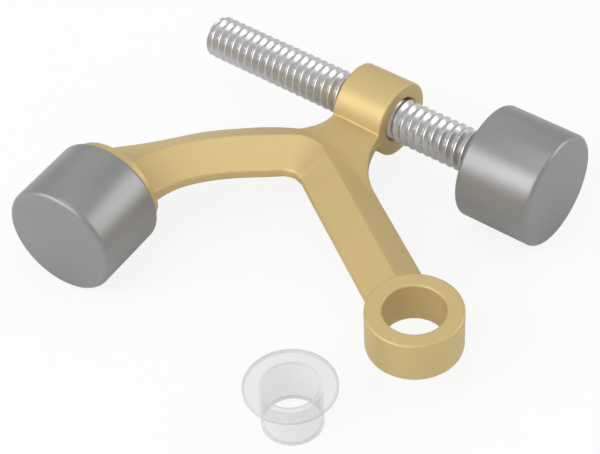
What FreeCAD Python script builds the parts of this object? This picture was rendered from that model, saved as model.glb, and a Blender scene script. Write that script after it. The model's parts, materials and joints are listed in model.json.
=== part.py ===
"""Hinge pin door stop: an eye for the hinge pin, two ridged arms and a rubber tip on each side.

The casting is one piece. Its eye slips over the pin of a door hinge. From the eye a ridged arm
runs to a rounded elbow, where it meets the curved arm of the fixed tip and the web that carries
the tapped boss. The rod screws through the boss, so its tip is set nearer to the door or away.

The frame: +Z is the hinge pin's axis and the origin is the middle of the eye. The rod lies along
X at mid height, with its tip towards +X. All sizes are in millimetres and degrees.
"""
import FreeCAD, Part
import math
import os

import Sketcher

# Each driving size: its name, its value and what it is.
SIZES = [
    ("eye_dia", 12.9, "outer diameter of the eye"),
    ("eye_height", 6.3, "height of the eye along the pin"),
    ("eye_round", 0.3, "rounding of the eye's outer edges"),
    ("pin_bore_dia", 8.2, "bore for the hinge pin or its bushing"),
    ("bore_chamfer", 0.2, "chamfer at both mouths of the pin bore"),
    ("eye_arm_angle", 147.5, "direction of the arm that leaves the eye"),
    ("elbow_dist", 36.0, "from the pin axis to the corner where the arm axes meet"),
    ("elbow_radius", 7.6, "bend radius of the arms at the elbow"),
    ("elbow_crown", 0.6, "how far the ridge stands outside the bend there"),
    ("wall_arm_angle", 215.6, "direction of the arm that leaves the elbow"),
    ("eye_arm_half", 4.2, "half width of the eye's arm"),
    ("wall_arm_half", 4.8, "half width of the fixed tip's arm, on its near side"),
    ("wall_arm_far_half", 4.3, "half width of that arm on its far side"),
    ("ridge_half", 3.1, "height of the arms' ridge over mid height"),
    ("edge_half", 0.6, "half height of the arms' upright sides"),
    ("wall_arm_lead", 13.0, "lead of the curved arm's centre line at the elbow"),
    ("wall_arm_tail", 7.5, "tail of the curved arm's centre line at its seat"),
    ("wall_arm_end_angle", 262.0, "direction of the curved arm at its seat"),
    ("seat_x", -48.74, "place of the fixed tip's back, along X"),
    ("seat_y", -3.61, "place of the fixed tip's back, along Y"),
    ("seat_angle", 275.0, "direction in which the fixed tip points"),
    ("seat_dia", 14.6, "diameter of the round seat behind the fixed tip"),
    ("seat_thick", 1.15, "thickness of that seat"),
    ("seat_round", 0.25, "rounding of the seat's edges"),
    ("seat_shift", 0.8, "how far the arm's ridge meets the seat off its centre"),
    ("seat_ridge_half", 5.0, "height of the ridge over mid height at the seat"),
    ("seat_edge_half", 1.5, "half height of the arm's upright sides at the seat"),
    ("seat_rim", 0.3, "bare rim of the seat beside the arm"),
    ("spigot_dia", 8.0, "diameter of the spigot inside the fixed tip"),
    ("spigot_length", 7.5, "length of that spigot"),
    ("spigot_chamfer", 0.6, "chamfer at the spigot's end"),
    ("spigot_clear", 0.05, "play of the spigot in the fixed tip"),
    ("rod_offset", 31.4, "from the pin axis to the rod's axis"),
    ("boss_back", -32.4, "back face of the tapped boss, along X"),
    ("boss_length", 8.1, "length of the tapped boss"),
    ("boss_dia", 11.1, "outer diameter of the boss"),
    ("boss_round", 0.2, "rounding of the boss's outer edges"),
    ("boss_mouth", 0.3, "chamfer at both mouths of the tapped hole"),
    ("web_crest", 1.75, "height of the web over mid height, halfway to the boss"),
    ("web_half", 0.95, "half height of the web where it meets the boss"),
    ("web_front_round", 14.0, "radius of the web's long front hollow"),
    ("web_back_round", 4.2, "radius of the web's short back hollow"),
    ("web_bite", 0.1, "how far both hollows run into the faces beside them"),
    ("rod_dia", 6.35, "outside diameter of the rod's thread"),
    ("rod_length", 56.0, "length of the rod"),
    ("rod_back", -57.9, "rear end of the rod, along X"),
    ("rod_chamfer", 0.7, "chamfer at both ends of the rod"),
    ("rod_clear", 0.05, "radial play of the rod in the boss and in its tip"),
    ("rod_end_clear", 0.05, "play between the rod's end and the floor of its socket"),
    ("tip_dia", 16.5, "diameter of both rubber tips"),
    ("tip_length", 11.55, "length of both rubber tips"),
    ("tip_face_round", 0.55, "rounding of a tip's striking edge"),
    ("tip_back_round", 0.3, "rounding of a tip's rear edge"),
    ("rod_socket", 7.93, "depth of the rod's socket in its tip"),
    ("sleeve_height", 7.0, "height of the pin bushing with its flange"),
    ("sleeve_clear", 0.05, "radial play of the bushing in the pin bore"),
    ("sleeve_wall", 0.35, "wall of the bushing"),
    ("flange_dia", 12.2, "diameter of the bushing's flange"),
    ("flange_thick", 0.55, "thickness of the flange"),
    ("flange_round", 0.15, "rounding of the flange's rim"),
    ("sleeve_x", -7.6, "place of the bushing beside the stop, along X"),
    ("sleeve_y", -16.1, "place of the bushing beside the stop, along Y"),
]

# Stations along the elbow's bend and along the curved arm, as shares of their length.
ELBOW_SHARES = (0.0, 0.25, 0.5, 0.75, 1.0)
CURVE_SHARES = (0.15, 0.32, 0.5, 0.7, 0.88)

doc = FreeCAD.newDocument("hinge_pin_door_stop")


def dim(name):
    """The expression for one driving size."""
    return f"dims.{name}"


def cosine(angle):
    return f"cos({angle} * 1 deg)"


def sine(angle):
    return f"sin({angle} * 1 deg)"


def driving_sheet():
    """Keeps the driving sizes in a sheet, one row for each."""
    sheet = doc.addObject("Spreadsheet::Sheet", "dims")
    for row, (name, value, note) in enumerate(SIZES, start=1):
        sheet.set(f"A{row}", name)
        sheet.set(f"B{row}", str(value))
        sheet.set(f"C{row}", note)
        sheet.setAlias(f"B{row}", name)
    doc.recompute()


def shared_places():
    """Works out the places that several features share, each from the driving sizes."""
    eye_cos, eye_sin = cosine("dims.eye_arm_angle"), sine("dims.eye_arm_angle")
    wall_cos, wall_sin = cosine("dims.wall_arm_angle"), sine("dims.wall_arm_angle")
    seat_cos, seat_sin = cosine("dims.seat_angle"), sine("dims.seat_angle")
    end_cos, end_sin = cosine("dims.wall_arm_end_angle"), sine("dims.wall_arm_end_angle")
    elbow_mid = "(dims.eye_arm_angle + dims.wall_arm_angle) / 2"
    places = [
        ("bend", "dims.wall_arm_angle - dims.eye_arm_angle"),
        ("arm_length", "dims.elbow_dist - dims.elbow_radius * tan(bend / 2 * 1 deg)"),
        ("elbow_cx", f"arm_length * {eye_cos} - dims.elbow_radius * {eye_sin}"),
        ("elbow_cy", f"arm_length * {eye_sin} + dims.elbow_radius * {eye_cos}"),
        ("crest_x", f"elbow_cx + (dims.elbow_radius + dims.elbow_crown) * {sine(elbow_mid)}"),
        ("crest_y", f"elbow_cy - (dims.elbow_radius + dims.elbow_crown) * {cosine(elbow_mid)}"),
        ("root_x", f"dims.seat_x - dims.seat_thick / 2 * {seat_cos}"),
        ("root_y", f"dims.seat_y - dims.seat_thick / 2 * {seat_sin}"),
        ("curve_x0", f"elbow_cx + dims.elbow_radius * {wall_sin}"),
        ("curve_y0", f"elbow_cy - dims.elbow_radius * {wall_cos}"),
        ("curve_x1", f"curve_x0 + dims.wall_arm_lead * {wall_cos}"),
        ("curve_y1", f"curve_y0 + dims.wall_arm_lead * {wall_sin}"),
        ("curve_x3", f"root_x - dims.seat_shift * {seat_sin}"),
        ("curve_y3", f"root_y + dims.seat_shift * {seat_cos}"),
        ("curve_x2", f"curve_x3 - dims.wall_arm_tail * {end_cos}"),
        ("curve_y2", f"curve_y3 - dims.wall_arm_tail * {end_sin}"),
        ("seat_reach", "dims.seat_dia / 2 - dims.seat_rim"),
        ("seat_flare", "seat_reach + dims.seat_shift - dims.wall_arm_far_half"),
        ("boss_front", "dims.boss_back + dims.boss_length"),
        ("front_cx", "boss_front - dims.web_bite + dims.web_front_round"),
        ("front_gap", "dims.eye_arm_half + dims.web_front_round - dims.web_bite"),
        ("front_cy", f"(front_cx * {eye_sin} - front_gap) / {eye_cos}"),
        ("front_x", f"front_cx - dims.web_front_round * {eye_sin}"),
        ("front_y", f"front_cy + dims.web_front_round * {eye_cos}"),
        ("front_end_x", f"front_x - arm_length / 3 * {eye_cos}"),
        ("front_end_y", f"front_y - arm_length / 3 * {eye_sin}"),
        ("aim_x", f"front_x - 0.36 * dims.eye_arm_half * {eye_sin} - crest_x"),
        ("aim_y", f"front_y + 0.36 * dims.eye_arm_half * {eye_cos} - crest_y"),
        ("web_reach", "1.25 * sqrt(aim_x ^ 2 + aim_y ^ 2)"),
        ("back_cx", "dims.boss_back + dims.web_bite - dims.web_back_round"),
        ("bend_out", "dims.elbow_radius + (dims.eye_arm_half + 3 * dims.wall_arm_far_half) / 4"),
        ("back_gap", "bend_out + dims.web_back_round - dims.web_bite"),
        ("back_cy", "elbow_cy + sqrt(back_gap ^ 2 - (back_cx - elbow_cx) ^ 2)"),
        ("back_share", "(bend_out - dims.web_bite) / back_gap"),
        ("back_x", "elbow_cx + (back_cx - elbow_cx) * back_share"),
        ("back_y", "elbow_cy + (back_cy - elbow_cy) * back_share"),
        ("floor_z", "-dims.tip_dia / 2"),
    ]
    layout = doc.addObject("App::VarSet", "layout")
    for name, expression in places:
        layout.addProperty("App::PropertyFloat", name)
        layout.setExpression(name, expression)
        doc.recompute()


def new_body(name):
    """A named piece of the stop."""
    body = doc.addObject("PartDesign::Body", name)
    body.Label = name
    return body


def new_sketch(body, name, role):
    """A sketch on one of the piece's own origin planes."""
    sketch = body.newObject("Sketcher::SketchObject", name)
    plane = next(f for f in body.Origin.OriginFeatures if f.Role == role)
    sketch.AttachmentSupport = (plane, [""])
    sketch.MapMode = "FlatFace"
    return sketch


def value_of(expression):
    """The present number of an expression on the sheet and the shared places."""
    return float(doc.layout.evalExpression(expression))


def bind(sketch, constraint, expression):
    """Adds a dimension to a sketch and binds it to an expression."""
    index = sketch.addConstraint(constraint)
    sketch.setExpression(f"Constraints[{index}]", expression)


def arc_between(a, b, radius, turn):
    """The short arc from a to b, with its first and last point in the direction of travel."""
    chord = b - a
    rise = math.sqrt(max(radius**2 - (chord.Length / 2) ** 2, 0))
    left = FreeCAD.Vector(-chord.y, chord.x, 0).normalize()
    centre = (a + b) / 2 + left * rise * turn
    first, last = (a, b) if turn > 0 else (b, a)
    start, end = [math.atan2(p.y - centre.y, p.x - centre.x) for p in (first, last)]
    if end < start:
        end += 2 * math.pi
    circle = Part.Circle(centre, FreeCAD.Vector(0, 0, 1), radius)
    return Part.ArcOfCircle(circle, start, end), (1, 2) if turn > 0 else (2, 1)


def outline(sketch, points, arcs=None):
    """A closed outline whose corners are bound to pairs of expressions.

    arcs gives, for the corner where an arc starts, its radius and 1 for a left or -1 for a right
    turn. A corner on an axis is given as "0". Every other coordinate is a distance from the
    origin, on the side where it lies now.
    """
    arcs = arcs or {}
    corners = [FreeCAD.Vector(value_of(x), value_of(y), 0) for x, y in points]
    ends = []
    for i, corner in enumerate(corners):
        following = corners[(i + 1) % len(corners)]
        if i in arcs:
            radius, turn = arcs[i]
            shape, pair = arc_between(corner, following, value_of(radius), turn)
        else:
            shape, pair = Part.LineSegment(corner, following), (1, 2)
        ends.append(pair)
        sketch.addGeometry(shape)
    for i, pair in enumerate(ends):
        after = (i + 1) % len(ends)
        sketch.addConstraint(Sketcher.Constraint("Coincident", i, pair[1], after, ends[after][0]))
    for i, pair in enumerate(ends):
        place_corner(sketch, i, pair[0], points[i], corners[i])
    for i, (radius, turn) in arcs.items():
        bind(sketch, Sketcher.Constraint("Radius", i, value_of(radius)), radius)


def place_corner(sketch, line, end, pair, corner):
    """Ties one corner of an outline to its two coordinates."""
    ways = (("DistanceX", -2, pair[0], corner.x), ("DistanceY", -1, pair[1], corner.y))
    for kind, axis, expression, number in ways:
        if expression == "0":
            sketch.addConstraint(Sketcher.Constraint("PointOnObject", line, end, axis))
        elif number >= 0:
            bind(sketch, Sketcher.Constraint(kind, -1, 1, line, end, number), expression)
        else:
            bind(sketch, Sketcher.Constraint(kind, line, end, -1, 1, -number), f"-({expression})")


def roof_section(body, name, place, near, far, ridge, edge, crown="0"):
    """One cross-section of an arm: a low roof above and below, with short upright sides.

    place is (x, y, direction). near is the half width to the left of the direction and far the
    one to its right, ridge and edge are heights over mid height, and crown moves the ridge to
    the far side.
    """
    x, y, direction = place
    sketch = new_sketch(body, name, "XZ_Plane")
    quarter = FreeCAD.Rotation(FreeCAD.Vector(0, 1, 0), 90)
    sketch.AttachmentOffset = FreeCAD.Placement(FreeCAD.Vector(), quarter)
    sketch.setExpression("AttachmentOffset.Base.x", x)
    sketch.setExpression("AttachmentOffset.Base.z", f"-({y})")
    sketch.setExpression("AttachmentOffset.Rotation.Angle", f"{direction} + 90 deg")
    top = crown if crown == "0" else f"-({crown})"
    outline(sketch, [
        (top, ridge),
        (near, edge),
        (near, f"-({edge})"),
        (top, f"-({ridge})"),
        (f"-({far})", f"-({edge})"),
        (f"-({far})", edge),
    ])
    return sketch


def loft(body, name, sections, ruled=False):
    """Joins cross-sections into one solid stretch."""
    feature = body.newObject("PartDesign::AdditiveLoft", name)
    feature.Profile = sections[0]
    feature.Sections = sections[1:]
    feature.Ruled = ruled
    return feature


def revolve(body, name, sketch, axis, cut):
    """Turns a profile all the way round one of its own axes, to add or to cut."""
    feature = body.newObject("PartDesign::Groove" if cut else "PartDesign::Revolution", name)
    feature.Profile = sketch
    feature.ReferenceAxis = (sketch, [axis])
    feature.Angle = 360
    return feature


def turned(body, name, place, points, arcs=None, cut=False):
    """Turns a half profile round a level axis, at a place (x, y, direction) in plan."""
    x, y, direction = place
    sketch = new_sketch(body, f"{name}_profile", "XY_Plane")
    sketch.AttachmentOffset = FreeCAD.Placement(
        FreeCAD.Vector(), FreeCAD.Rotation(FreeCAD.Vector(0, 0, 1), value_of(direction))
    )
    sketch.setExpression("AttachmentOffset.Base.x", x)
    sketch.setExpression("AttachmentOffset.Base.y", y)
    if direction != "0":
        sketch.setExpression("AttachmentOffset.Rotation.Angle", f"{direction} * 1 deg")
    outline(sketch, points, arcs)
    return revolve(body, name, sketch, "H_Axis", cut)


def upright(body, name, place, points, arcs=None, cut=False):
    """Turns a half profile round an upright axis, at a place (x, y, height)."""
    x, y, height = place
    sketch = new_sketch(body, f"{name}_profile", "XZ_Plane")
    sketch.setExpression("AttachmentOffset.Base.x", x)
    sketch.setExpression("AttachmentOffset.Base.y", height)
    sketch.setExpression("AttachmentOffset.Base.z", f"-({y})")
    outline(sketch, points, arcs)
    return revolve(body, name, sketch, "V_Axis", cut)


def hollow(body, name, boss_x, centre_y, corner, end, radius, turn):
    """Cuts one side of the web to its rounded outline, from the arm up to the boss.

    corner is where the round leaves the arm, and end is a place further on along the arm.
    """
    sketch = new_sketch(body, f"{name}_outline", "XY_Plane")
    sketch.setExpression("AttachmentOffset.Base.z", dim("eye_height"))
    points = [
        corner,
        (boss_x, centre_y),
        (boss_x, dim("rod_offset")),
        (end[0], dim("rod_offset")),
        end,
    ]
    outline(sketch, points, {0: (radius, turn)})
    feature = body.newObject("PartDesign::Pocket", name)
    feature.Profile = sketch
    feature.setExpression("Length", "2 * dims.eye_height")
    return feature


def web(body):
    """The web from the elbow to the boss: its crest falls from the arms' ridge to the boss."""
    elbow = ("layout.crest_x", "layout.crest_y", "atan2(layout.aim_y; layout.aim_x) + 90 deg")
    middle = (
        "(layout.crest_x + dims.boss_back + dims.boss_length / 4) / 2",
        "(layout.crest_y + dims.rod_offset - dims.boss_dia / 2) / 2",
        "84 deg",
    )
    top = (
        "dims.boss_back + dims.boss_length / 3",
        "dims.rod_offset - 0.75 * dims.boss_dia / 2",
        "90 deg",
    )
    sections = [
        roof_section(body, "web_elbow", elbow, dim("wall_arm_half"), "layout.web_reach",
                     "dims.ridge_half - 0.05", dim("edge_half")),
        roof_section(body, "web_middle", middle, "0.85 * dims.wall_arm_half",
                     "2 / 3 * layout.web_reach", dim("web_crest"),
                     "(dims.edge_half + dims.web_half) / 2"),
        roof_section(body, "web_boss", top, "dims.boss_length / 3 + 1",
                     "dims.boss_length * 2 / 3 + 1", "dims.web_half + 0.1", dim("web_half")),
    ]
    return loft(body, "web", sections)


def eye_arm(body):
    """The straight arm from the eye to the elbow, which the pin bore opens later."""
    sections = []
    for name, reach in (("eye_arm_root", "0"), ("eye_arm_end", "layout.arm_length")):
        x = f"{reach} * {cosine('dims.eye_arm_angle')}"
        y = f"{reach} * {sine('dims.eye_arm_angle')}"
        place = (x, y, "dims.eye_arm_angle * 1 deg")
        sections.append(roof_section(body, name, place, dim("eye_arm_half"), dim("eye_arm_half"),
                                     dim("ridge_half"), dim("edge_half")))
    return loft(body, "eye_arm", sections, ruled=True)


def bezier(axis, share):
    """The expression for one coordinate of the curved arm's centre line."""
    s, r = share, 1 - share
    weights = (r**3, 3 * r * r * s, 3 * r * s * s, s**3)
    return " + ".join(f"{w:.6f} * layout.curve_{axis}{i}" for i, w in enumerate(weights))


def bezier_direction(share):
    """The expression for the direction of the curved arm's centre line."""
    s, r = share, 1 - share
    weights = (r * r, 2 * r * s, s * s)
    slopes = []
    for axis in "yx":
        steps = [
            f"{w:.6f} * (layout.curve_{axis}{i + 1} - layout.curve_{axis}{i})"
            for i, w in enumerate(weights)
        ]
        slopes.append(" + ".join(steps))
    return f"atan2({slopes[0]}; {slopes[1]})"


def elbow_sections(body):
    """The cross-sections of the bend between the two arms."""
    sections = []
    for i, share in enumerate(ELBOW_SHARES):
        angle = f"(dims.eye_arm_angle + {share} * layout.bend)"
        place = (f"layout.elbow_cx + dims.elbow_radius * {sine(angle)}",
                 f"layout.elbow_cy - dims.elbow_radius * {cosine(angle)}",
                 f"{angle} * 1 deg")
        near, far = [
            f"(dims.eye_arm_half + {share} * (dims.{side} - dims.eye_arm_half))"
            for side in ("wall_arm_half", "wall_arm_far_half")
        ]
        bulge = round(math.sin(math.pi * share) ** 2, 4)
        crown = f"{bulge} * dims.elbow_crown" if bulge else "0"
        sections.append(roof_section(body, f"elbow_{i}", place, near, far,
                                     dim("ridge_half"), dim("edge_half"), crown))
    return sections


def wall_arm(body):
    """The elbow and the curved arm, which spreads on its far side to meet the round seat."""
    sections = elbow_sections(body)
    for i, share in enumerate(CURVE_SHARES):
        late = max(2 * share - 1, 0)
        spread = round(late * late * (3 - 2 * late), 4)
        far = f"(dims.wall_arm_far_half + {spread} * layout.seat_flare)"
        ridge = f"(dims.ridge_half + {late**8:.4f} * (dims.seat_ridge_half - dims.ridge_half))"
        edge = f"(dims.edge_half + {late**3:.4f} * (dims.seat_edge_half - dims.edge_half))"
        place = (bezier("x", share), bezier("y", share), bezier_direction(share))
        sections.append(roof_section(body, f"wall_arm_{i}", place, dim("wall_arm_half"), far,
                                     ridge, edge))
    place = ("layout.root_x", "layout.root_y", "dims.seat_angle * 1 deg")
    sections.append(roof_section(body, "wall_arm_root", place, "layout.seat_reach",
                                 "layout.seat_reach", dim("seat_ridge_half"),
                                 dim("seat_edge_half"), "-dims.seat_shift"))
    return loft(body, "wall_arm", sections)


def eye(body):
    """The round eye, still without its bore."""
    half, radius, rounding = "dims.eye_height / 2", "dims.eye_dia / 2", dim("eye_round")
    points = [
        ("0", f"-{half}"),
        (f"{radius} - {rounding}", f"-{half}"),
        (radius, f"-{half} + {rounding}"),
        (radius, f"{half} - {rounding}"),
        (f"{radius} - {rounding}", half),
        ("0", half),
    ]
    return upright(body, "eye", ("0", "0", "0"), points, {1: (rounding, 1), 3: (rounding, 1)})


def boss(body):
    """The round boss, still without its tapped hole."""
    radius, rounding = "dims.boss_dia / 2", dim("boss_round")
    points = [
        ("0", "0"),
        ("0", f"{radius} - {rounding}"),
        (rounding, radius),
        (f"dims.boss_length - {rounding}", radius),
        ("dims.boss_length", f"{radius} - {rounding}"),
        ("dims.boss_length", "0"),
    ]
    place = (dim("boss_back"), dim("rod_offset"), "0")
    return turned(body, "boss", place, points, {1: (rounding, -1), 3: (rounding, -1)})


def seat(body):
    """The round seat of the fixed tip and the spigot that holds the tip."""
    radius, rounding = "dims.seat_dia / 2", dim("seat_round")
    spigot, bevel = "dims.spigot_dia / 2", dim("spigot_chamfer")
    points = [
        ("-dims.seat_thick", "0"),
        ("-dims.seat_thick", f"{radius} - {rounding}"),
        (f"-dims.seat_thick + {rounding}", radius),
        (f"-{rounding}", radius),
        ("0", f"{radius} - {rounding}"),
        ("0", spigot),
        (f"dims.spigot_length - {bevel}", spigot),
        ("dims.spigot_length", f"{spigot} - {bevel}"),
        ("dims.spigot_length", "0"),
    ]
    place = (dim("seat_x"), dim("seat_y"), dim("seat_angle"))
    return turned(body, "seat", place, points, {1: (rounding, -1), 3: (rounding, -1)})


def pin_bore(body):
    """The bore through the eye, bevelled at both mouths."""
    half, radius, bevel = "dims.eye_height / 2", "dims.pin_bore_dia / 2", dim("bore_chamfer")
    points = [
        ("0", f"-{half}"),
        (f"{radius} + {bevel}", f"-{half}"),
        (radius, f"-{half} + {bevel}"),
        (radius, f"{half} - {bevel}"),
        (f"{radius} + {bevel}", half),
        ("0", half),
    ]
    return upright(body, "pin_bore", ("0", "0", "0"), points, cut=True)


def screw_hole(body):
    """The tapped hole through the boss, with a mouth at each face."""
    radius, mouth = "(dims.rod_dia / 2 + dims.rod_clear)", dim("boss_mouth")
    points = [
        ("0", "0"),
        ("0", f"{radius} + {mouth}"),
        (mouth, radius),
        (f"dims.boss_length - {mouth}", radius),
        ("dims.boss_length", f"{radius} + {mouth}"),
        ("dims.boss_length", "0"),
    ]
    place = (dim("boss_back"), dim("rod_offset"), "0")
    return turned(body, "screw_hole", place, points, cut=True)


def present_volume(body):
    doc.recompute()
    return body.Shape.Volume


def stop_body():
    """The casting: web, arms, eye, boss and seat, with its two bores."""
    body = new_body("stop_body")
    web(body)
    hollow(body, "front_hollow", "layout.boss_front - dims.web_bite", "layout.front_cy",
           ("layout.front_x", "layout.front_y"), ("layout.front_end_x", "layout.front_end_y"),
           dim("web_front_round"), -1)
    hollow(body, "back_hollow", "dims.boss_back + dims.web_bite", "layout.back_cy",
           ("layout.back_x", "layout.back_y"), (dim("seat_x"), "layout.back_y"),
           dim("web_back_round"), 1)
    eye_arm(body)
    wall_arm(body)
    eye(body)
    boss(body)
    seat(body)
    solid_volume = present_volume(body)
    pin_bore(body)
    screw_hole(body)
    if present_volume(body) >= solid_volume:
        raise RuntimeError("the bores of stop_body cut nothing")
    return body


def threaded_rod():
    """The rod, plain over its thread's crests, bevelled at both ends."""
    body = new_body("threaded_rod")
    length, radius, bevel = dim("rod_length"), "dims.rod_dia / 2", dim("rod_chamfer")
    points = [
        ("0", "0"),
        ("0", f"{radius} - {bevel}"),
        (bevel, radius),
        (f"{length} - {bevel}", radius),
        (length, f"{radius} - {bevel}"),
        (length, "0"),
    ]
    turned(body, "rod", (dim("rod_back"), dim("rod_offset"), "0"), points)
    return body


def rubber_tip(name, place, socket_radius, socket_depth):
    """A rubber tip: a drum with a rounded striking edge and a blind socket from the back."""
    body = new_body(name)
    radius, length = "dims.tip_dia / 2", dim("tip_length")
    face, back = dim("tip_face_round"), dim("tip_back_round")
    points = [
        ("0", socket_radius),
        ("0", f"{radius} - {back}"),
        (back, radius),
        (f"{length} - {face}", radius),
        (length, f"{radius} - {face}"),
        (length, "0"),
        (socket_depth, "0"),
        (socket_depth, socket_radius),
    ]
    turned(body, f"{name}_drum", place, points, {1: (back, -1), 3: (face, -1)})
    return body


def pin_bushing():
    """The flanged sleeve that takes up the play of a thinner pin; it stands beside the stop."""
    body = new_body("pin_bushing")
    outer = "(dims.pin_bore_dia / 2 - dims.sleeve_clear)"
    inner = f"({outer} - dims.sleeve_wall)"
    flange, top, rounding = "dims.flange_dia / 2", dim("sleeve_height"), dim("flange_round")
    points = [
        (inner, "0"),
        (outer, "0"),
        (outer, f"{top} - dims.flange_thick"),
        (flange, f"{top} - dims.flange_thick"),
        (flange, f"{top} - {rounding}"),
        (f"{flange} - {rounding}", top),
        (inner, top),
    ]
    place = (dim("sleeve_x"), dim("sleeve_y"), "layout.floor_z")
    upright(body, "sleeve", place, points, {4: (rounding, 1)})
    return body


def check_document():
    """Stops if any feature failed."""
    failed = [o.Name for o in doc.Objects if {"Invalid", "Error"} & set(o.State)]
    if failed:
        raise RuntimeError("failed features: " + ", ".join(failed))


def write_pieces(pieces):
    """Checks each piece and writes it to its own file."""
    for piece in pieces:
        shape = piece.Shape
        if shape.isNull() or not shape.isValid() or len(shape.Solids) != 1:
            raise RuntimeError(f"{piece.Label} is not one valid solid")
    os.makedirs("parts", exist_ok=True)
    for piece in pieces:
        piece.Shape.exportStep(f"parts/{piece.Label}.step")
        print(f"{piece.Label}: {piece.Shape.Volume:.1f} cubic mm")


def main():
    driving_sheet()
    shared_places()
    door_tip_back = "dims.rod_back + dims.rod_length + dims.rod_end_clear - dims.rod_socket"
    pieces = [
        stop_body(),
        threaded_rod(),
        rubber_tip("door_bumper", (door_tip_back, dim("rod_offset"), "0"),
                   "(dims.rod_dia / 2 + dims.rod_clear)", dim("rod_socket")),
        rubber_tip("wall_bumper", (dim("seat_x"), dim("seat_y"), dim("seat_angle")),
                   "(dims.spigot_dia / 2 + dims.spigot_clear)",
                   "dims.spigot_length + dims.spigot_clear"),
        pin_bushing(),
    ]
    doc.recompute()
    check_document()
    write_pieces(pieces)


if __name__ == "__main__":
    main()
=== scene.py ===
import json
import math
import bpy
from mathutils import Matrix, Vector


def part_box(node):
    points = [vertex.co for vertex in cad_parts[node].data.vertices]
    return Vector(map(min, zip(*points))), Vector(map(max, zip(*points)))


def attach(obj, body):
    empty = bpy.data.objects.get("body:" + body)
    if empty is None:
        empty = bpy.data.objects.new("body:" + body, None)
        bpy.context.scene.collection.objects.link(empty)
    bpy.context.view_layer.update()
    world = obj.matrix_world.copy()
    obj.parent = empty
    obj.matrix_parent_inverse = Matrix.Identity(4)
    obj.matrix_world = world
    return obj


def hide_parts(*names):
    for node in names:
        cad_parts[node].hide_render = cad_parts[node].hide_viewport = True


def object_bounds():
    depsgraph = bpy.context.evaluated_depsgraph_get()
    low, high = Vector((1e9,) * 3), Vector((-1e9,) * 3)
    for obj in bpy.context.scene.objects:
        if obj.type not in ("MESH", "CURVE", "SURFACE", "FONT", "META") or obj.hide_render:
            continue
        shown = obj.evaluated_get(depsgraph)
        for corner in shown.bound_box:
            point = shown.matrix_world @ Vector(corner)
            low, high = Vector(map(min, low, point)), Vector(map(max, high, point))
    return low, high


bl_info = {
    "name": "Hinge Pin Door Stop",
    "version": (1, 0, 0),
    "blender": (4, 5, 0),
    "location": "View3D > Sidebar > Door Stop",
    "description": "Dresses the frame of a hinge pin door stop and sets its stage",
    "category": "Object",
}

import bmesh
import bpy
from bpy.props import FloatProperty, FloatVectorProperty, IntProperty, PointerProperty
from mathutils import Matrix, Vector

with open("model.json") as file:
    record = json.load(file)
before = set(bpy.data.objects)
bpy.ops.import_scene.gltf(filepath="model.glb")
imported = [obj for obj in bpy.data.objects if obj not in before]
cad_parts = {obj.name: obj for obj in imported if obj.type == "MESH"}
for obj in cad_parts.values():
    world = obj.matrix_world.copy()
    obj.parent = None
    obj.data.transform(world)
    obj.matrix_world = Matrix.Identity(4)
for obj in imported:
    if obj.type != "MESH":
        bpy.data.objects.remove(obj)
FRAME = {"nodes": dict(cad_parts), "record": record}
CAD_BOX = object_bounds()
MOUNTS = {mount["name"]: mount for mount in FRAME["record"]["mounts"]}
MM = 0.001
FULL_TURN = 2 * math.pi
AROUND = 144
ROUND_STEPS = 6
ROD_ROWS, ROD_AROUND = 1000, 97
SHARP_ANGLE = math.radians(35)

PHOTO_WIDTH, PHOTO_HEIGHT = 600, 454
PHOTO_FOCAL = 1901.294
EYE_PIXEL = (414.433, 326.229)

# Where each lamp stands, seen from the camera: right, away from it, and up.
LAMP_DIRECTIONS = {
    "front": (-0.5, -0.55, 0.67),
    "left": (-0.85, -0.2, 0.5),
    "right": (0.91, 0.08, 0.41),
    "top": (0, 0, 1),
    "back": (0, 0.8, 0.6),
}
# The eye arm's direction and length, and the elbow's centre, ridge and inner corner, in mm.
ARM_ANGLE = math.radians(147.5)
ARM_LENGTH = 30.86
ELBOW_CENTRE = (-30.11, 10.17)
ELBOW_RIDGE = 8.0
ELBOW_CORNER = (-28.8, 13.1)

# Where faces of the casting flow together, in mm. The flow grows or fades between each pair:
# along the eye's arm, towards the boss, up from the middle plane and past the ridge.
WEB_START, WEB_END = (15, 19), (34, 37)
WEB_TOP = (21, 24)
WEB_EDGE = (0.9, 1.3)
WEB_RIDGE = (0.3, 0.9)
ELBOW_START, ELBOW_END = (28, 29.5), (32.5, 35)
ELBOW_EDGE, ELBOW_CREST = (1.3, 1.9), (2.6, 2.9)
CORNER_REACH = (1.5, 4.5)
CORNER_EDGE = (0.7, 1.3)
CORNER_LEAST = 0.4

CAST_TRIANGLES = 185000
MESH_SLACK = 0.0005 * MM
# The share of the thread's pitch that is flat crest.
CREST = 0.125

SEAT_RADIUS = 7.3 * MM
SEAT_THICK = 1.5 * MM
SEAT_ROUND = 0.2 * MM
SPIGOT_HOLE_RADIUS = 4.05 * MM
SPIGOT_HOLE_DEPTH = 7.55 * MM
PLAY = 0.05 * MM

LAMP_DISTANCE = 0.55
LAMP_SIZE = 0.35
# Painted shade on the bushing: bands this wide at its outer rim, and this high at its lip and
# foot, are made more opaque, and so darker, by the last alpha below.
RIM_WIDTH = 0.3 * MM
LIP_HEIGHT = 0.25 * MM
CLEAR_ALPHA, FLOW_ALPHA, RIM_SHADE_ALPHA = 0.24, 0.03, 0.30
PAPER_COLOUR = (0.8, 0.8, 0.8, 1)
PAPER_WHITE = 0.86
FLOOR_HALF = 3.0


def colour_property(name, description, default):
    """A colour that a user can change."""
    return FloatVectorProperty(name=name, description=description, subtype="COLOR",
                               size=3, min=0, max=1, default=default)


def length_property(name, description, default):
    """A length that a user can change, given in millimetres."""
    return FloatProperty(name=name, description=description, subtype="DISTANCE",
                         unit="LENGTH", precision=5, min=0, default=default * MM)


def power_property(name, default):
    """A lamp's power that a user can change."""
    return FloatProperty(name=name, description="Power of this lamp", unit="POWER",
                         min=0, default=default)


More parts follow.
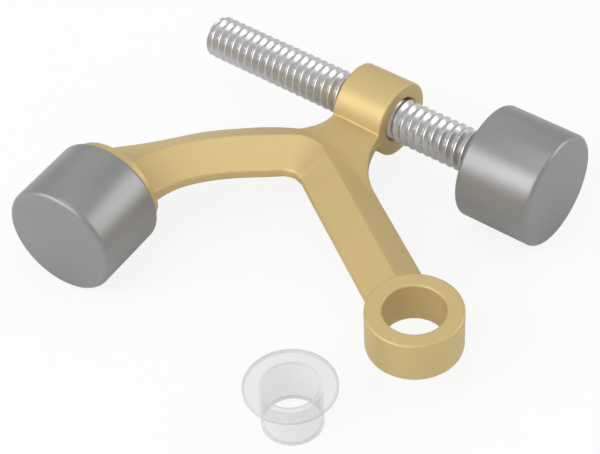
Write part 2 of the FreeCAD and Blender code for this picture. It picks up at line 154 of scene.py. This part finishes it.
class DOORSTOP_PG_finishes(bpy.types.PropertyGroup):
    """The colours of the four finishes."""

    brass: colour_property("Brass", "Satin brass of the casting", (0.61, 0.465, 0.212))
    steel: colour_property("Steel", "Bright steel of the rod", (0.62, 0.62, 0.62))
    rubber: colour_property("Rubber", "Grey rubber of both tips", (0.29, 0.29, 0.29))
    plastic: colour_property("Plastic", "Clear plastic of the bushing", (0.62, 0.62, 0.63))


class DOORSTOP_PG_sizes(bpy.types.PropertyGroup):
    """The small sizes that the frame leaves to the dressed pieces."""

    pitch: length_property("Pitch", "Travel of the rod in one turn", 1.27)
    thread_depth: length_property("Thread depth", "Depth of the thread's groove", 0.55)
    rod_chamfer: length_property("Rod chamfer", "Bevel at both ends of the rod", 0.35)
    cast_grid: length_property("Cast grid", "Grid of the casting's even skin", 0.13)
    face_round: length_property("Face round", "Rounding of a tip's striking edge", 0.75)
    back_round: length_property("Back round", "Rounding of a tip's rear edge", 0.55)
    flange_thick: length_property("Flange", "Thickness of the bushing's flange", 0.55)
    flange_round: length_property("Flange round", "Rounding of the flange's rim", 0.15)


class DOORSTOP_PG_stage(bpy.types.PropertyGroup):
    """The camera and the lights."""

    elevation: FloatProperty(name="Elevation", description="Camera over the horizon",
                             subtype="ANGLE", default=math.radians(44.487))
    turn: FloatProperty(name="Turn", description="Camera round the hinge pin",
                        subtype="ANGLE", default=math.radians(39.911))
    roll: FloatProperty(name="Roll", description="Tilt of the camera's frame",
                        subtype="ANGLE", default=math.radians(-3.412))
    distance: length_property("Distance", "Depth of the eye before the camera", 241.7)
    front: power_property("Front lamp", 0.9)
    left: power_property("Left lamp", 0.85)
    right: power_property("Right lamp", 0.8)
    top: power_property("Top lamp", 0.4)
    back: power_property("Back lamp", 0.1)
    world: FloatProperty(name="World", description="Strength of the light all round",
                         min=0, default=0.58)


class DOORSTOP_PG_settings(bpy.types.PropertyGroup):
    """All settings of the door stop."""

    finishes: PointerProperty(type=DOORSTOP_PG_finishes)
    sizes: PointerProperty(type=DOORSTOP_PG_sizes)
    stage: PointerProperty(type=DOORSTOP_PG_stage)
    around: IntProperty(name="Steps", description="Steps round a turned piece",
                        min=16, default=AROUND)
    cast_passes: IntProperty(name="Passes", description="How softly the casting is smoothed",
                             min=0, default=6)
    blend_passes: IntProperty(name="Blend", description="How softly arm and web flow together",
                              min=0, default=100)


class Field:
    """An output of a node, with which Python's own operators build Math nodes."""

    def __init__(self, tree, output):
        self.tree = tree
        self.output = output

    def calculate(self, operation, *values):
        inputs = dict(enumerate(values))
        node = add_node(self.tree, "ShaderNodeMath", {"operation": operation}, inputs)
        return Field(self.tree, node.outputs[0])

    def __add__(self, other):
        return self.calculate("ADD", self, other)

    def __radd__(self, other):
        return self.calculate("ADD", other, self)

    def __sub__(self, other):
        return self.calculate("SUBTRACT", self, other)

    def __rsub__(self, other):
        return self.calculate("SUBTRACT", other, self)

    def __mul__(self, other):
        return self.calculate("MULTIPLY", self, other)

    def __rmul__(self, other):
        return self.calculate("MULTIPLY", other, self)

    def __truediv__(self, other):
        return self.calculate("DIVIDE", self, other)

    def __rtruediv__(self, other):
        return self.calculate("DIVIDE", other, self)

    def __pow__(self, other):
        return self.calculate("POWER", self, other)

    def __abs__(self):
        return self.calculate("ABSOLUTE", self)

    def fraction(self):
        return self.calculate("FRACT", self)

    def cosine(self):
        return self.calculate("COSINE", self)

    def sine(self):
        return self.calculate("SINE", self)

    def least(self, other):
        return self.calculate("MINIMUM", self, other)

    def most(self, other):
        return self.calculate("MAXIMUM", self, other)

    def above(self, other):
        return self.calculate("GREATER_THAN", self, other)


def add_node(tree, kind, settings=None, inputs=None):
    """Adds a node, sets its own settings first and then its sockets' values or links."""
    node = tree.nodes.new(kind)
    for name, value in (settings or {}).items():
        setattr(node, name, value)
    for key, value in (inputs or {}).items():
        if isinstance(value, Field):
            tree.links.new(value.output, node.inputs[key])
        else:
            node.inputs[key].default_value = value
    return node


def field(tree, kind, output, settings=None, inputs=None):
    """The named output of a new node, ready for expressions."""
    return Field(tree, add_node(tree, kind, settings, inputs).outputs[output])


def new_material(name):
    """An empty material and its node tree."""
    material = bpy.data.materials.new(name)
    material.use_nodes = True
    material.node_tree.nodes.clear()
    return material, material.node_tree


def grain(tree, scale, detail=2.0):
    """Fine noise fixed to the piece; scale is in features per metre."""
    place = field(tree, "ShaderNodeTexCoord", "Object")
    return field(tree, "ShaderNodeTexNoise", "Fac", None,
                 {"Vector": place, "Scale": scale, "Detail": detail})


def relief(tree, height, strength, distance):
    """A fine relief for a shader's Normal."""
    return field(tree, "ShaderNodeBump", "Normal", None,
                 {"Height": height, "Strength": strength, "Distance": distance})


def finish_with(tree, inputs):
    """Ends a material in one Principled shader."""
    shader = field(tree, "ShaderNodeBsdfPrincipled", "BSDF", None, inputs)
    add_node(tree, "ShaderNodeOutputMaterial", None, {"Surface": shader})


def tinted(tree, colour, noise, low, high):
    """The colour, a little darker and lighter with the noise."""
    darker = (*[channel * low for channel in colour], 1)
    lighter = (*[min(channel * high, 1) for channel in colour], 1)
    return field(tree, "ShaderNodeMix", 2, {"data_type": "RGBA"},
                 {0: noise, 6: darker, 7: lighter})


def satin_brass(colour):
    """Satin brass, a little uneven like a casting."""
    material, tree = new_material("satin_brass")
    cast, fine = grain(tree, scale=260), grain(tree, scale=5200, detail=3)
    finish_with(tree, {
        "Base Color": tinted(tree, colour, cast, low=0.985, high=1.015),
        "Metallic": 0.45,
        "Roughness": 0.44 + 0.05 * fine,
        "Normal": relief(tree, fine, strength=0.06, distance=0.01 * MM),
    })
    return material


def bright_steel(colour):
    """Bright drawn steel."""
    material, tree = new_material("bright_steel")
    drawn = grain(tree, scale=2400, detail=3)
    finish_with(tree, {
        "Base Color": tinted(tree, colour, drawn, low=0.94, high=1.06),
        "Metallic": 0.9,
        "Roughness": 0.27 + 0.08 * drawn,
    })
    return material


def grey_rubber(colour):
    """Grey rubber with a satin skin."""
    material, tree = new_material("grey_rubber")
    soft, pores = grain(tree, scale=180), grain(tree, scale=7000, detail=3)
    finish_with(tree, {
        "Base Color": tinted(tree, colour, soft, low=0.97, high=1.03),
        "Metallic": 0.55,
        "Roughness": 0.33 + 0.05 * pores,
        "Normal": relief(tree, pores, strength=0.08, distance=0.012 * MM),
    })
    return material


def clear_plastic(colour, middle, flange, bore, low, high):
    """Clear plastic with painted shade at the bushing's edges: the outer rim, the lip round the
    bore and the foot are drawn more opaque, and so darker.
    """
    material, tree = new_material("clear_plastic")
    flow = grain(tree, scale=320)
    spot = add_node(tree, "ShaderNodeSeparateXYZ", None,
                    {0: field(tree, "ShaderNodeTexCoord", "Object")})
    x, y, z = [Field(tree, spot.outputs[axis]) for axis in "XYZ"]
    radius = ((x - middle.x) ** 2.0 + (y - middle.y) ** 2.0) ** 0.5
    outer_rim = radius.above(flange - RIM_WIDTH)
    lip = z.above(high - LIP_HEIGHT) * (1 - radius.above(bore + RIM_WIDTH))
    foot = 1 - z.above(low + LIP_HEIGHT)
    # Painted shade: the outer rim, the lip and the foot are drawn more opaque, so they show
    # darker, like the edges of clear plastic where light bends.
    rim_shade = outer_rim.most(lip).most(foot)
    finish_with(tree, {
        "Base Color": tinted(tree, colour, flow, low=0.98, high=1.02),
        "Roughness": 0.20 + 0.06 * flow,
        "Alpha": CLEAR_ALPHA + FLOW_ALPHA * flow + RIM_SHADE_ALPHA * rim_shade,
        "IOR": 1.45,
    })
    return material


def link_mesh(name, mesh, material):
    """Puts a finished mesh in the scene as a piece at the origin."""
    mesh.materials.clear()
    mesh.materials.append(material)
    piece = bpy.data.objects.new(name, mesh)
    bpy.context.scene.collection.objects.link(piece)
    return piece


def rounded(corner, before, after, radius):
    """The points of a round where a square corner of a profile would be."""
    corner = Vector(corner)
    first = (Vector(before) - corner).normalized() * radius
    last = (Vector(after) - corner).normalized() * radius
    centre = corner + first + last
    points = []
    for step in range(ROUND_STEPS + 1):
        angle = math.pi / 2 * step / ROUND_STEPS
        points.append(centre - last * math.cos(angle) - first * math.sin(angle))
    return points


def turn_profile(name, profile, place, direction, steps):
    """A closed profile of (along, radius) points, turned round an axis into a mesh."""
    axis = Vector(direction).normalized()
    frame = axis.to_track_quat("X", "Z").to_matrix()
    made = bmesh.new()
    rings = []
    for along, radius in profile:
        count = steps if radius > MESH_SLACK else 1
        ring = []
        for step in range(count):
            angle = FULL_TURN * step / steps
            local = Vector((along, radius * math.cos(angle), radius * math.sin(angle)))
            ring.append(made.verts.new(Vector(place) + frame @ local))
        rings.append(ring)
    pairs = list(zip(rings, rings[1:]))
    if len(rings[0]) == len(rings[-1]) == steps:
        pairs.append((rings[-1], rings[0]))
    for ring, following in pairs:
        for step in range(steps):
            after = (step + 1) % steps
            corners = [ring[step % len(ring)], ring[after % len(ring)],
                       following[after % len(following)], following[step % len(following)]]
            unique = list(dict.fromkeys(corners))
            if len(unique) > 2:
                made.faces.new(unique)
    bmesh.ops.recalc_face_normals(made, faces=made.faces)
    mesh = bpy.data.meshes.new(name)
    made.to_mesh(mesh)
    made.free()
    soften(mesh, SHARP_ANGLE)
    return mesh


def soften(mesh, angle):
    """Smooth shading, apart from edges sharper than the angle."""
    for polygon in mesh.polygons:
        polygon.use_smooth = True
    mesh.set_sharp_from_angle(angle=angle)


def applied(piece):
    """Turns what a piece's modifiers make into its plain mesh."""
    bpy.context.view_layer.update()
    graph = bpy.context.evaluated_depsgraph_get()
    mesh = bpy.data.meshes.new_from_object(piece.evaluated_get(graph))
    piece.modifiers.clear()
    piece.data = mesh


def ramp(value, limits):
    """0 up to the lower limit, 1 from the upper one, and a straight rise between."""
    low, high = limits
    return min(max((value - low) / (high - low), 0), 1)


def past_ridge(x, y):
    """How far along the eye's arm a place lies, and how far past its ridge, towards the boss."""
    along = x * math.cos(ARM_ANGLE) + y * math.sin(ARM_ANGLE)
    if along < ARM_LENGTH:
        return along, x * math.sin(ARM_ANGLE) - y * math.cos(ARM_ANGLE)
    return along, math.hypot(x - ELBOW_CENTRE[0], y - ELBOW_CENTRE[1]) - ELBOW_RIDGE


def blend_weight(place):
    """How much a place on the casting flows into its neighbours, at the elbow and the web."""
    x, y, z = place / MM
    along, past = past_ridge(x, y)
    height = abs(z)
    if past > 0:
        stretch = ramp(along, WEB_START) * (1 - ramp(along, WEB_END)) * (1 - ramp(y, WEB_TOP))
        return ramp(height, WEB_EDGE) * ramp(past, WEB_RIDGE) * stretch
    stretch = ramp(along, ELBOW_START) * (1 - ramp(along, ELBOW_END))
    slope = ramp(height, ELBOW_EDGE) * (1 - ramp(height, ELBOW_CREST)) * stretch
    off_corner = math.hypot(x - ELBOW_CORNER[0], y - ELBOW_CORNER[1])
    over_edge = CORNER_LEAST + (1 - CORNER_LEAST) * ramp(height, CORNER_EDGE)
    return max(slope, (1 - ramp(off_corner, CORNER_REACH)) * over_edge)


def add_smoothing(piece, passes):
    """A smoothing modifier with so many passes."""
    smooth = piece.modifiers.new("smooth", "SMOOTH")
    smooth.factor = 0.5
    smooth.iterations = passes
    return smooth


def seat_mesh():
    """The round seat behind the wall tip, proud enough that its rim shows."""
    low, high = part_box("door_bumper")
    axis = Vector(MOUNTS["wall_face"]["axis"])
    back = Vector(MOUNTS["wall_face"]["pos_m"]) - axis * (high.x - low.x)
    rear = rounded((-SEAT_THICK, SEAT_RADIUS), (-SEAT_THICK, 0), (0, SEAT_RADIUS), SEAT_ROUND)
    front = rounded((0, SEAT_RADIUS), (-SEAT_THICK, SEAT_RADIUS), (0, 0), SEAT_ROUND)
    profile = [(-SEAT_THICK, 0), *rear, *front, (0, 0)]
    return turn_profile("seat", profile, back, axis, AROUND)


def casting_mesh():
    """The casting's own surface, merged so that its edges can be rounded."""
    made = bmesh.new()
    made.from_mesh(FRAME["nodes"]["stop_body"].data)
    made.from_mesh(seat_mesh())
    bmesh.ops.remove_doubles(made, verts=made.verts, dist=MESH_SLACK)
    bmesh.ops.recalc_face_normals(made, faces=made.faces)
    mesh = bpy.data.meshes.new("casting")
    made.to_mesh(mesh)
    made.free()
    return mesh


def thread_tree(material):
    """A node tree that makes a threaded rod along X from its length, pitch and depth."""
    tree = bpy.data.node_groups.new("rolled_thread", "GeometryNodeTree")
    tree.interface.new_socket("Geometry", in_out="OUTPUT", socket_type="NodeSocketGeometry")
    for name in ("Length", "Diameter", "Pitch", "Depth", "Chamfer"):
        tree.interface.new_socket(name, in_out="INPUT", socket_type="NodeSocketFloat")
    for name in ("Rows", "Around"):
        tree.interface.new_socket(name, in_out="INPUT", socket_type="NodeSocketInt")
    sizes = tree.nodes.new("NodeGroupInput")
    length, diameter, pitch, depth, chamfer = [
        Field(tree, sizes.outputs[name])
        for name in ("Length", "Diameter", "Pitch", "Depth", "Chamfer")
    ]
    rows, around = [Field(tree, sizes.outputs[name]) for name in ("Rows", "Around")]
    grid = add_node(tree, "GeometryNodeMeshGrid", None, {
        "Size X": 1.0, "Size Y": 1.0, "Vertices X": rows, "Vertices Y": around,
    })
    spot = add_node(tree, "ShaderNodeSeparateXYZ", None, {
        0: field(tree, "GeometryNodeInputPosition", "Position"),
    })
    share = Field(tree, spot.outputs["X"]) + 0.5
    turn = (Field(tree, spot.outputs["Y"]) + 0.5) * FULL_TURN
    edge = 1 / (rows - 1)
    inner = ((share - edge) / (1 - 2 * edge)).most(0.0).least(1.0)
    along = inner * length
    crest = abs((along / pitch - turn / FULL_TURN).fraction() * 2 - 1)
    threaded = diameter / 2 - depth * ((crest - CREST) / (1 - CREST)).most(0.0)
    near_end = along.least(length - along)
    bevelled = threaded.least(diameter / 2 - chamfer + near_end)
    at_pole = (share.least(1 - share) / edge * 2).least(1.0)
    radius = bevelled * at_pole
    place = field(tree, "ShaderNodeCombineXYZ", "Vector", None, {
        "X": along, "Y": radius * turn.cosine(), "Z": radius * turn.sine(),
    })
    shape = Field(tree, grid.outputs["Mesh"])
    shape = field(tree, "GeometryNodeSetPosition", "Geometry", None,
                  {"Geometry": shape, "Position": place})
    shape = field(tree, "GeometryNodeMergeByDistance", "Geometry", None,
                  {"Geometry": shape, "Distance": MESH_SLACK})
    shape = field(tree, "GeometryNodeSetShadeSmooth", "Geometry", None, {"Geometry": shape})
    shape = field(tree, "GeometryNodeRealizeInstances", "Geometry", None, {"Geometry": shape})
    shape = field(tree, "GeometryNodeSetMaterial", "Geometry", None,
                  {"Geometry": shape, "Material": material})
    add_node(tree, "NodeGroupOutput", None, {"Geometry": shape})
    return tree


def set_inputs(modifier, values):
    """Sets a node modifier's inputs by their sockets' identifiers."""
    for item in modifier.node_group.interface.items_tree:
        if item.item_type == "SOCKET" and item.in_out == "INPUT" and item.name in values:
            modifier[item.identifier] = values[item.name]


class DOORSTOP_OT_casting(bpy.types.Operator):
    """Make the brass casting with its edges rounded"""

    bl_idname = "door_stop.casting"
    bl_label = "Casting"

    def execute(self, context):
        settings = context.scene.door_stop
        piece = link_mesh("casting", casting_mesh(), satin_brass(settings.finishes.brass))
        skin = piece.modifiers.new("skin", "REMESH")
        skin.mode = "VOXEL"
        skin.voxel_size = settings.sizes.cast_grid
        skin.use_smooth_shade = True
        add_smoothing(piece, settings.cast_passes)
        applied(piece)
        blend = piece.vertex_groups.new(name="blend")
        for vertex in piece.data.vertices:
            weight = blend_weight(vertex.co)
            if weight > 0:
                blend.add([vertex.index], weight, "REPLACE")
        add_smoothing(piece, settings.blend_passes).vertex_group = "blend"
        applied(piece)
        piece.data.calc_loop_triangles()
        thinned = piece.modifiers.new("thinned", "DECIMATE")
        thinned.ratio = min(CAST_TRIANGLES / len(piece.data.loop_triangles), 1)
        applied(piece)
        soften(piece.data, math.pi)
        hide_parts("stop_body")
        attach(piece, "stop")
        return {"FINISHED"}


class DOORSTOP_OT_rod(bpy.types.Operator):
    """Make the steel rod with its right-hand thread"""

    bl_idname = "door_stop.rod"
    bl_label = "Threaded rod"

    def execute(self, context):
        settings = context.scene.door_stop
        low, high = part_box("threaded_rod")
        material = bright_steel(settings.finishes.steel)
        piece = link_mesh("screw_rod", bpy.data.meshes.new("screw_rod"), material)
        thread = piece.modifiers.new("thread", "NODES")
        thread.node_group = thread_tree(material)
        set_inputs(thread, {
            "Length": high.x - low.x, "Diameter": high.z - low.z,
            "Pitch": settings.sizes.pitch, "Depth": settings.sizes.thread_depth,
            "Chamfer": settings.sizes.rod_chamfer, "Rows": ROD_ROWS, "Around": ROD_AROUND,
        })
        applied(piece)
        soften(piece.data, SHARP_ANGLE)
        middle = (low + high) / 2
        piece.data.transform(Matrix.Translation((low.x, middle.y, middle.z)))
        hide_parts("threaded_rod")
        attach(piece, "turning_rod")
        return {"FINISHED"}


class DOORSTOP_OT_tips(bpy.types.Operator):
    """Make both rubber tips with rounded edges"""

    bl_idname = "door_stop.tips"
    bl_label = "Rubber tips"

    def execute(self, context):
        settings = context.scene.door_stop
        low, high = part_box("door_bumper")
        rod_low, rod_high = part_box("threaded_rod")
        length, radius = high.x - low.x, (high.z - low.z) / 2
        socket_depth = rod_high.x - low.x + PLAY
        rod_radius = (rod_high.z - rod_low.z) / 2 + PLAY
        material = grey_rubber(settings.finishes.rubber)
        tips = [
            ("door_tip", "door_bumper", "sliding_tip", "door_face", rod_radius, socket_depth),
            ("wall_tip", "wall_bumper", "stop", "wall_face",
             SPIGOT_HOLE_RADIUS, SPIGOT_HOLE_DEPTH),
        ]
        for name, node, body, mount, hole, depth in tips:
            axis = Vector(MOUNTS[mount]["axis"])
            back = Vector(MOUNTS[mount]["pos_m"]) - axis * length
            profile = tip_profile(length, radius, hole, depth, settings.sizes)
            mesh = turn_profile(name, profile, back, axis, settings.around)
            piece = link_mesh(name, mesh, material)
            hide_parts(node)
            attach(piece, body)
        return {"FINISHED"}


def tip_profile(length, radius, hole, depth, sizes):
    """Half of a tip's section: drum, striking face and the socket from the back."""
    back = rounded((0, radius), (0, 0), (length, radius), sizes.back_round)
    face = rounded((length, radius), (0, radius), (length, 0), sizes.face_round)
    return [(0, hole), *back, *face, (length, 0), (depth, 0), (depth, hole)]


class DOORSTOP_OT_bushing(bpy.types.Operator):
    """Make the clear bushing with its flange"""

    bl_idname = "door_stop.bushing"
    bl_label = "Bushing"

    def execute(self, context):
        settings = context.scene.door_stop
        low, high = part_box("pin_bushing")
        middle = (low + high) / 2
        height, flange = high.z - low.z, (high.x - low.x) / 2
        inner = MOUNTS["bushing_bore"]["dims"]["r_mm"] * MM
        outer = MOUNTS["pin_bore"]["dims"]["r_mm"] * MM - PLAY
        step = height - settings.sizes.flange_thick
        rim_low = rounded((step, flange), (step, 0), (height, flange),
                          settings.sizes.flange_round)
        rim_high = rounded((height, flange), (0, flange), (height, 0),
                           settings.sizes.flange_round)
        profile = [(0, inner), (0, outer), (step, outer), *rim_low, *rim_high,
                   (height, inner)]
        mesh = turn_profile("clear_bushing", profile, (middle.x, middle.y, low.z), (0, 0, 1),
                            settings.around)
        material = clear_plastic(settings.finishes.plastic, middle, flange, inner, low.z, high.z)
        piece = link_mesh("clear_bushing", mesh, material)
        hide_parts("pin_bushing")
        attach(piece, "stop")
        return {"FINISHED"}


def seen_directly(tree):
    """1 where the camera or a clear piece looks at a surface, else 0."""
    path = add_node(tree, "ShaderNodeLightPath")
    seen = Field(tree, path.outputs["Is Camera Ray"])
    return seen.most(Field(tree, path.outputs["Is Transmission Ray"]))


def floor_paper():
    """White paper that keeps a faint shadow."""
    material, tree = new_material("floor_paper")
    plain = field(tree, "ShaderNodeBsdfDiffuse", "BSDF", None, {"Color": PAPER_COLOUR})
    white = field(tree, "ShaderNodeEmission", "Emission", None, {"Strength": 1.0})
    paper = field(tree, "ShaderNodeMixShader", 0, None,
                  {0: seen_directly(tree) * PAPER_WHITE, 1: plain, 2: white})
    add_node(tree, "ShaderNodeOutputMaterial", None, {"Surface": paper})
    return material


def add_floor():
    """A wide level floor under the stop."""
    low, _ = CAD_BOX
    sides = ((-1, -1), (1, -1), (1, 1), (-1, 1))
    corners = [(x * FLOOR_HALF, y * FLOOR_HALF, low.z) for x, y in sides]
    mesh = bpy.data.meshes.new("floor")
    mesh.from_pydata(corners, [], [(0, 1, 2, 3)])
    link_mesh("floor", mesh, floor_paper())


def add_world(strength):
    """Even light all round, white where it is seen."""
    world = bpy.data.worlds.new("studio")
    bpy.context.scene.world = world
    world.use_nodes = True
    tree = world.node_tree
    tree.nodes.clear()
    level = strength + (1 - strength) * seen_directly(tree)
    light = field(tree, "ShaderNodeBackground", "Background", None,
                  {"Color": (1, 1, 1, 1), "Strength": level})
    add_node(tree, "ShaderNodeOutputWorld", None, {"Surface": light})


def add_lamp(name, direction, power):
    """A soft square lamp that looks at the middle of the stop."""
    low, high = CAD_BOX
    middle = (low + high) / 2
    data = bpy.data.lights.new(name, "AREA")
    data.size = LAMP_SIZE
    data.energy = power
    lamp = bpy.data.objects.new(name, data)
    toward = Vector(direction).normalized()
    lamp.location = middle + toward * LAMP_DISTANCE
    lamp.rotation_mode = "QUATERNION"
    lamp.rotation_quaternion = toward.to_track_quat("Z", "Y")
    bpy.context.scene.collection.objects.link(lamp)


def add_camera(stage):
    """The camera of the photograph, placed from where it sees the eye's centre."""
    forward = Vector((0, math.cos(stage.elevation), -math.sin(stage.elevation)))
    level = Vector((1, 0, 0))
    upright = level.cross(forward)
    right = level * math.cos(stage.roll) + upright * math.sin(stage.roll)
    up = upright * math.cos(stage.roll) - level * math.sin(stage.roll)
    across = (EYE_PIXEL[0] - PHOTO_WIDTH / 2) / PHOTO_FOCAL * stage.distance
    down = (EYE_PIXEL[1] - PHOTO_HEIGHT / 2) / PHOTO_FOCAL * stage.distance
    place = up * down - right * across - forward * stage.distance
    data = bpy.data.cameras.new("camera")
    data.sensor_width = 36
    data.lens = PHOTO_FOCAL * data.sensor_width / PHOTO_WIDTH
    data.clip_start = 0.01
    camera = bpy.data.objects.new("camera", data)
    axes = Matrix((right, up, -forward)).transposed().to_4x4()
    around_pin = Matrix.Rotation(stage.turn, 4, "Z")
    camera.matrix_world = around_pin @ Matrix.Translation(place) @ axes
    bpy.context.scene.collection.objects.link(camera)
    bpy.context.scene.camera = camera


class DOORSTOP_OT_stage(bpy.types.Operator):
    """Set the floor, the light and the camera"""

    bl_idname = "door_stop.stage"
    bl_label = "Stage"

    def execute(self, context):
        stage = context.scene.door_stop.stage
        around_pin = Matrix.Rotation(stage.turn, 3, "Z")
        add_floor()
        add_world(stage.world)
        for name, direction in LAMP_DIRECTIONS.items():
            add_lamp(name, around_pin @ Vector(direction), getattr(stage, name))
        add_camera(stage)
        context.scene.view_settings.view_transform = "Standard"
        return {"FINISHED"}


class DOORSTOP_PT_panel(bpy.types.Panel):
    """Lists the steps that dress the door stop"""

    bl_label = "Door Stop"
    bl_idname = "DOORSTOP_PT_panel"
    bl_space_type = "VIEW_3D"
    bl_region_type = "UI"
    bl_category = "Door Stop"

    def draw(self, context):
        settings = context.scene.door_stop
        for group in (settings.finishes, settings.sizes, settings.stage):
            box = self.layout.box()
            for name in group.__annotations__:
                box.prop(group, name)
        for operator in STEPS:
            self.layout.operator(operator.bl_idname)


STEPS = (
    DOORSTOP_OT_casting,
    DOORSTOP_OT_rod,
    DOORSTOP_OT_tips,
    DOORSTOP_OT_bushing,
    DOORSTOP_OT_stage,
)
CLASSES = (
    DOORSTOP_PG_finishes,
    DOORSTOP_PG_sizes,
    DOORSTOP_PG_stage,
    DOORSTOP_PG_settings,
    *STEPS,
    DOORSTOP_PT_panel,
)


def register():
    for cls in CLASSES:
        bpy.utils.register_class(cls)
    bpy.types.Scene.door_stop = PointerProperty(type=DOORSTOP_PG_settings)


def unregister():
    del bpy.types.Scene.door_stop
    for cls in reversed(CLASSES):
        bpy.utils.unregister_class(cls)


def main():
    register()
    bpy.ops.door_stop.casting()
    bpy.ops.door_stop.rod()
    bpy.ops.door_stop.tips()
    bpy.ops.door_stop.bushing()
    bpy.ops.door_stop.stage()


if __name__ == "__main__":
    main()
